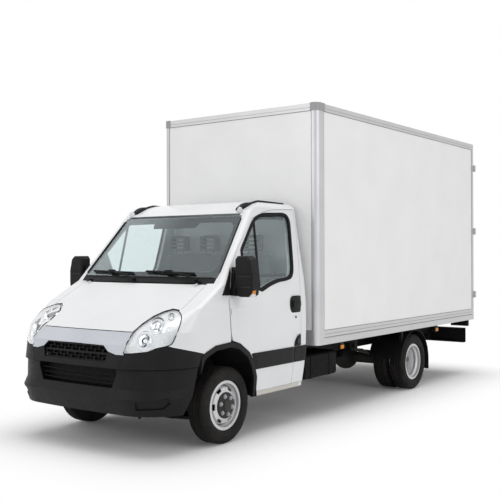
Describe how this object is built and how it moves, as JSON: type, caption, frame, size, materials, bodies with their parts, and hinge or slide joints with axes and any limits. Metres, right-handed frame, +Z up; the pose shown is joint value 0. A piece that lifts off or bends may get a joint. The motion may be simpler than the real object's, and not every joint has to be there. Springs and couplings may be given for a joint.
{
  "type": "box van",
  "caption": "Light box van: a chassis cab with a rigid box body, opening cab doors, bonnet and rear box doors.",
  "frame": {"origin": "on the ground, under the middle of the vehicle's length and width", "axes": "+X to the vehicle's left, -Y forward, +Z up"},
  "size_m": [2.394, 6.595, 3.269],
  "materials": {
    "white_paint": "gloss white body paint",
    "silver_paint": "satin silver paint",
    "black_plastic": "grained dark plastic",
    "black_gloss": "smooth black plastic",
    "lamp_lens": "clear lamp cover",
    "window_glass": "lightly tinted glass",
    "cab_lining": "dark grey cab lining",
    "seat_cloth": "dark grey seat cloth",
    "tyre_rubber": "black tyre rubber",
    "wheel_silver": "silver wheel paint",
    "chassis_black": "black chassis paint",
    "cast_steel": "bare cast steel",
    "exhaust_steel": "dull exhaust steel",
    "aluminium": "satin aluminium profile",
    "wall_white": "smooth white sandwich panel",
    "floor_wood": "coated plywood floor",
    "lamp_amber": "coloured lamp plastic"
  },
  "bodies": {
    "vehicle": {"wings": "white_paint", "corner_panels": "black_plastic", "silver_panel": "silver_paint", "grille": "black_plastic", "headlamps": "lamp_lens", "front_bumper": "black_plastic", "cowl": "black_plastic", "windscreen": "window_glass", "cab_roof": "white_paint", "cab_side_frames": "white_paint", "cab_back_wall": "white_paint", "cab_floor": "chassis_black", "dashboard": "cab_lining", "seats": "seat_cloth", "arch_linings": "black_plastic", "front_subframe": "chassis_black", "chassis_rails": "chassis_black", "crossmembers": "chassis_black", "engine": "cast_steel", "rear_axle": "cast_steel", "propeller_shaft": "chassis_black", "exhaust": "exhaust_steel", "fuel_tank": "black_gloss", "mudguards": "black_plastic", "underrun_bar": "chassis_black", "box_floor": "floor_wood", "box_front_wall": "wall_white", "box_side_walls": "wall_white", "box_roof": "wall_white", "box_rails": "aluminium", "box_corner_posts": "aluminium", "box_rear_frame": "aluminium", "lamps": "lamp_amber"},
    "bonnet": {"bonnet": "white_paint"},
    "cab_door_left": {"cab_door_left": "white_paint", "door_glass_left": "window_glass", "mirror_left": "black_plastic"},
    "cab_door_right": {"cab_door_right": "white_paint", "door_glass_right": "window_glass", "mirror_right": "black_plastic"},
    "steering_wheel": {"steering_wheel": "cab_lining"},
    "knuckle_left": {"knuckle_left": "cast_steel"},
    "knuckle_right": {"knuckle_right": "cast_steel"},
    "front_wheel_left": {"front_rim_left": "wheel_silver", "front_tyre_left": "tyre_rubber"},
    "front_wheel_right": {"front_rim_right": "wheel_silver", "front_tyre_right": "tyre_rubber"},
    "rear_wheels_left": {"rear_rims_left": "wheel_silver", "rear_tyres_left": "tyre_rubber"},
    "rear_wheels_right": {"rear_rims_right": "wheel_silver", "rear_tyres_right": "tyre_rubber"},
    "box_door_left": {"box_door_left": "wall_white", "door_gear_left": "aluminium"},
    "box_door_right": {"box_door_right": "wall_white", "door_gear_right": "aluminium"}
  },
  "joints": [
    {"name": "steer_left", "type": "hinge", "parent": "vehicle", "child": "knuckle_left", "pos_m": [0.78, -2.3095, 0.346], "axis": [0, 0, 1], "range_deg": [-36, 36]},
    {"name": "spin_front_left", "type": "hinge", "parent": "knuckle_left", "child": "front_wheel_left", "pos_m": [0.845, -2.3095, 0.346], "axis": [1, 0, 0], "continuous": true},
    {"name": "spin_rear_left", "type": "hinge", "parent": "vehicle", "child": "rear_wheels_left", "pos_m": [0.785, 1.4405, 0.346], "axis": [1, 0, 0], "continuous": true},
    {"name": "steer_right", "type": "hinge", "parent": "vehicle", "child": "knuckle_right", "pos_m": [-0.78, -2.3095, 0.346], "axis": [0, 0, 1], "range_deg": [-36, 36]},
    {"name": "spin_front_right", "type": "hinge", "parent": "knuckle_right", "child": "front_wheel_right", "pos_m": [-0.845, -2.3095, 0.346], "axis": [1, 0, 0], "continuous": true},
    {"name": "spin_rear_right", "type": "hinge", "parent": "vehicle", "child": "rear_wheels_right", "pos_m": [-0.785, 1.4405, 0.346], "axis": [1, 0, 0], "continuous": true},
    {"name": "steering_wheel_turn", "type": "hinge", "parent": "vehicle", "child": "steering_wheel", "pos_m": [0.425, -1.8395, 1.4], "axis": [0, 0.6428, 0.766], "range_deg": [-540, 540]},
    {"name": "cab_door_left_open", "type": "hinge", "parent": "vehicle", "child": "cab_door_left", "pos_m": [0.98, -2.3075, 1.1], "axis": [0, 0, -1], "range_deg": [0, 65]},
    {"name": "cab_door_right_open", "type": "hinge", "parent": "vehicle", "child": "cab_door_right", "pos_m": [-0.98, -2.3075, 1.1], "axis": [0, 0, 1], "range_deg": [0, 65]},
    {"name": "bonnet_open", "type": "hinge", "parent": "vehicle", "child": "bonnet", "pos_m": [0, -2.4395, 1.436], "axis": [-1, 0, 0], "range_deg": [0, 50]},
    {"name": "box_door_left_open", "type": "hinge", "parent": "vehicle", "child": "box_door_left", "pos_m": [1.073, 3.2855, 2], "axis": [0, 0, -1], "range_deg": [0, 268]},
    {"name": "box_door_right_open", "type": "hinge", "parent": "vehicle", "child": "box_door_right", "pos_m": [-1.073, 3.2855, 2], "axis": [0, 0, 1], "range_deg": [0, 268]}
  ],
  "couplings": [
    {"joint": "steer_right", "follows": "steer_left", "ratio": 1},
    {"joint": "steering_wheel_turn", "follows": "steer_left", "ratio": 15}
  ]
}
